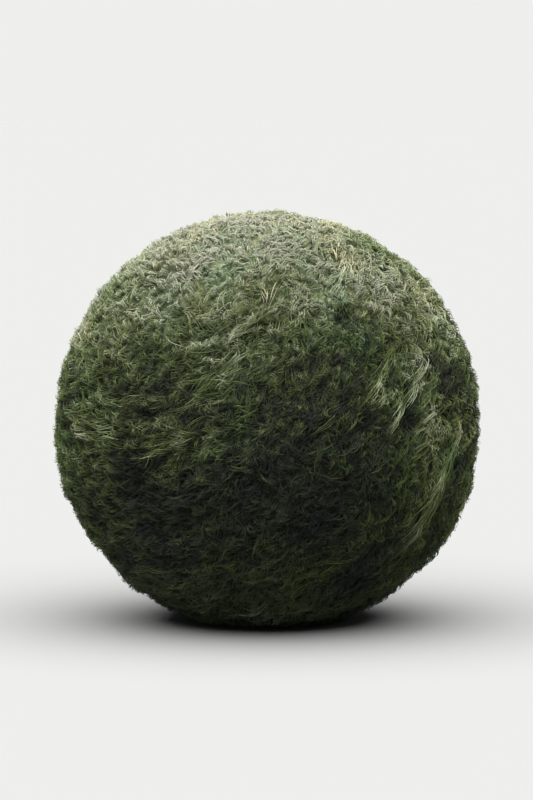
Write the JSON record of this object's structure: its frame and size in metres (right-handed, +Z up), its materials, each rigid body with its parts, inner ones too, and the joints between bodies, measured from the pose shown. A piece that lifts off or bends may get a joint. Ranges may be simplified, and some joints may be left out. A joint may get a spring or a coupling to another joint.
{
  "type": "marimo moss ball",
  "caption": "Marimo moss ball: a felted ball of dark grey-green algae filaments for a freshwater aquarium or a dish, resting on a small flat spot.",
  "frame": {"origin": "middle of the flat spot that the ball rests on, which is the bottom centre of its box", "axes": "+Z up through the crown; +X across its widest way, to the right in the picture; -Y towards the camera of the picture"},
  "size_m": [0.049, 0.0484, 0.0474],
  "materials": {
    "moss": "matte"
  },
  "bodies": {
    "root": {"moss_ball": "moss"}
  },
  "joints": []
}
